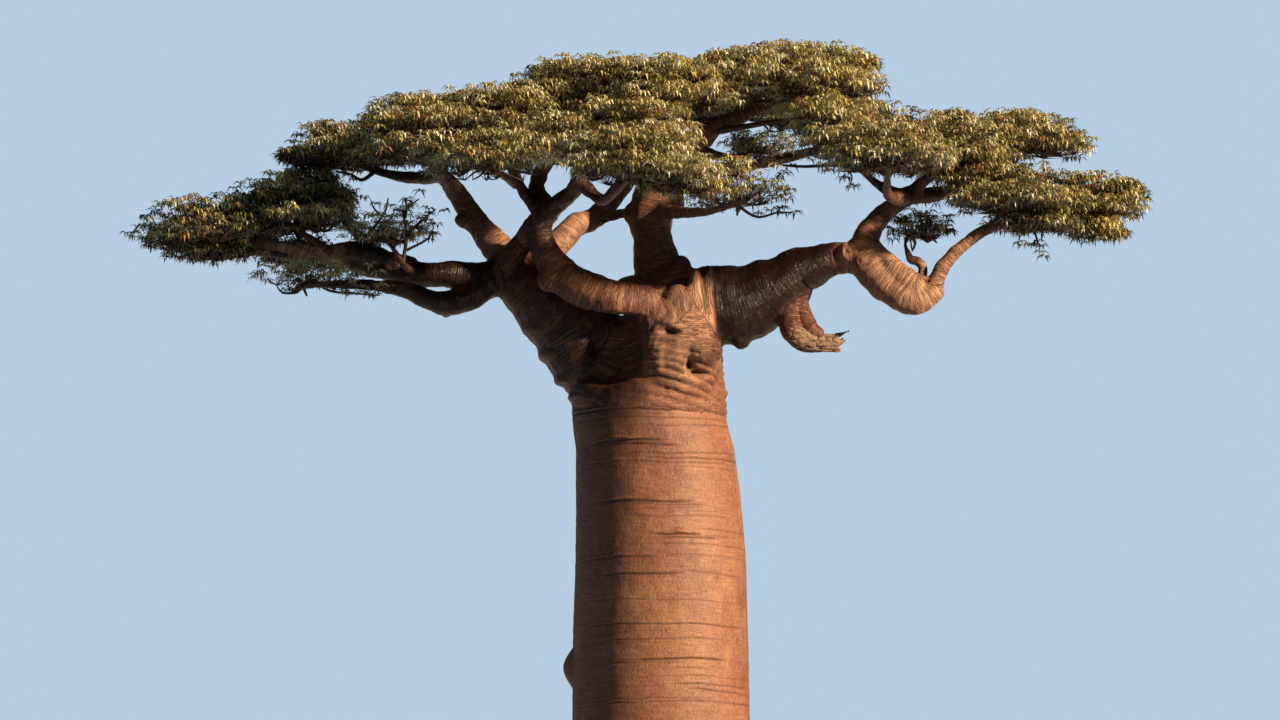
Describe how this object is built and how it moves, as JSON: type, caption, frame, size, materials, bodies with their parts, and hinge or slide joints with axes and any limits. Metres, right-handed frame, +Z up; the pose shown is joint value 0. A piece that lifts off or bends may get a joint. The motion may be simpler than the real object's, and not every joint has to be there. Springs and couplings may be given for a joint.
{
  "type": "baobab tree",
  "caption": "Full-grown baobab with a tall smooth column of a trunk, short thick boughs at its head and a flat, layered umbrella crown; stands rooted on level ground.",
  "frame": {"origin": "middle of the flat cut under the trunk, at ground level", "axes": "+Z up along the trunk, +X to the side of the low bough that drops, bends like an elbow and rises again, +Y away from the side the picture was taken from"},
  "size_m": [17.1732, 12.6307, 25.1722],
  "materials": {
    "bark": "satin",
    "dead_wood": "matte",
    "foliage": "satin"
  },
  "bodies": {
    "root": {"back_far_left_branch": "bark", "back_far_right_branch": "bark", "back_main_bough": "bark", "back_right_branch": "bark", "dead_spur": "dead_wood", "dead_stub": "dead_wood", "foliage_back_far_left": "foliage", "foliage_back_far_right": "foliage", "foliage_back_left": "foliage", "foliage_back_right": "foliage", "foliage_front_left": "foliage", "foliage_front_mid": "foliage", "foliage_front_right": "foliage", "foliage_left_crest": "foliage", "foliage_left_high": "foliage", "foliage_left_knee": "foliage", "foliage_left_mid": "foliage", "foliage_left_shoulder": "foliage", "foliage_left_sprig": "foliage", "foliage_left_tip": "foliage", "foliage_left_under": "foliage", "foliage_mid_right": "foliage", "foliage_right_front": "foliage", "foliage_right_high": "foliage", "foliage_right_inner": "foliage", "foliage_right_low": "foliage", "foliage_right_mid": "foliage", "foliage_right_pocket": "foliage", "foliage_right_tip": "foliage", "foliage_top_left": "foliage", "foliage_top_mid": "foliage", "foliage_top_right": "foliage", "front_bough_lower": "bark", "front_bough_upper": "bark", "front_cross_branch": "bark", "front_pale_branch": "bark", "front_red_branch": "bark", "leader": "bark", "leader_low_branch": "bark", "leader_side_branch": "bark", "left_high_bough": "bark", "left_high_branch": "bark", "left_knee_branch": "bark", "left_low_bough": "bark", "left_main_bough": "bark", "left_mid_branch": "bark", "left_sprig_branch": "bark", "left_under_bough": "bark", "mid_back_bough": "bark", "pocket_branch": "bark", "right_crest_branch": "bark", "right_drop_bough_lower": "bark", "right_drop_bough_upper": "bark", "right_front_branch": "bark", "right_inner_branch": "bark", "right_low_branch": "bark", "right_main_bough": "bark", "right_rising_bough": "bark", "right_tip_branch": "bark", "trunk": "bark"}
  },
  "joints": []
}
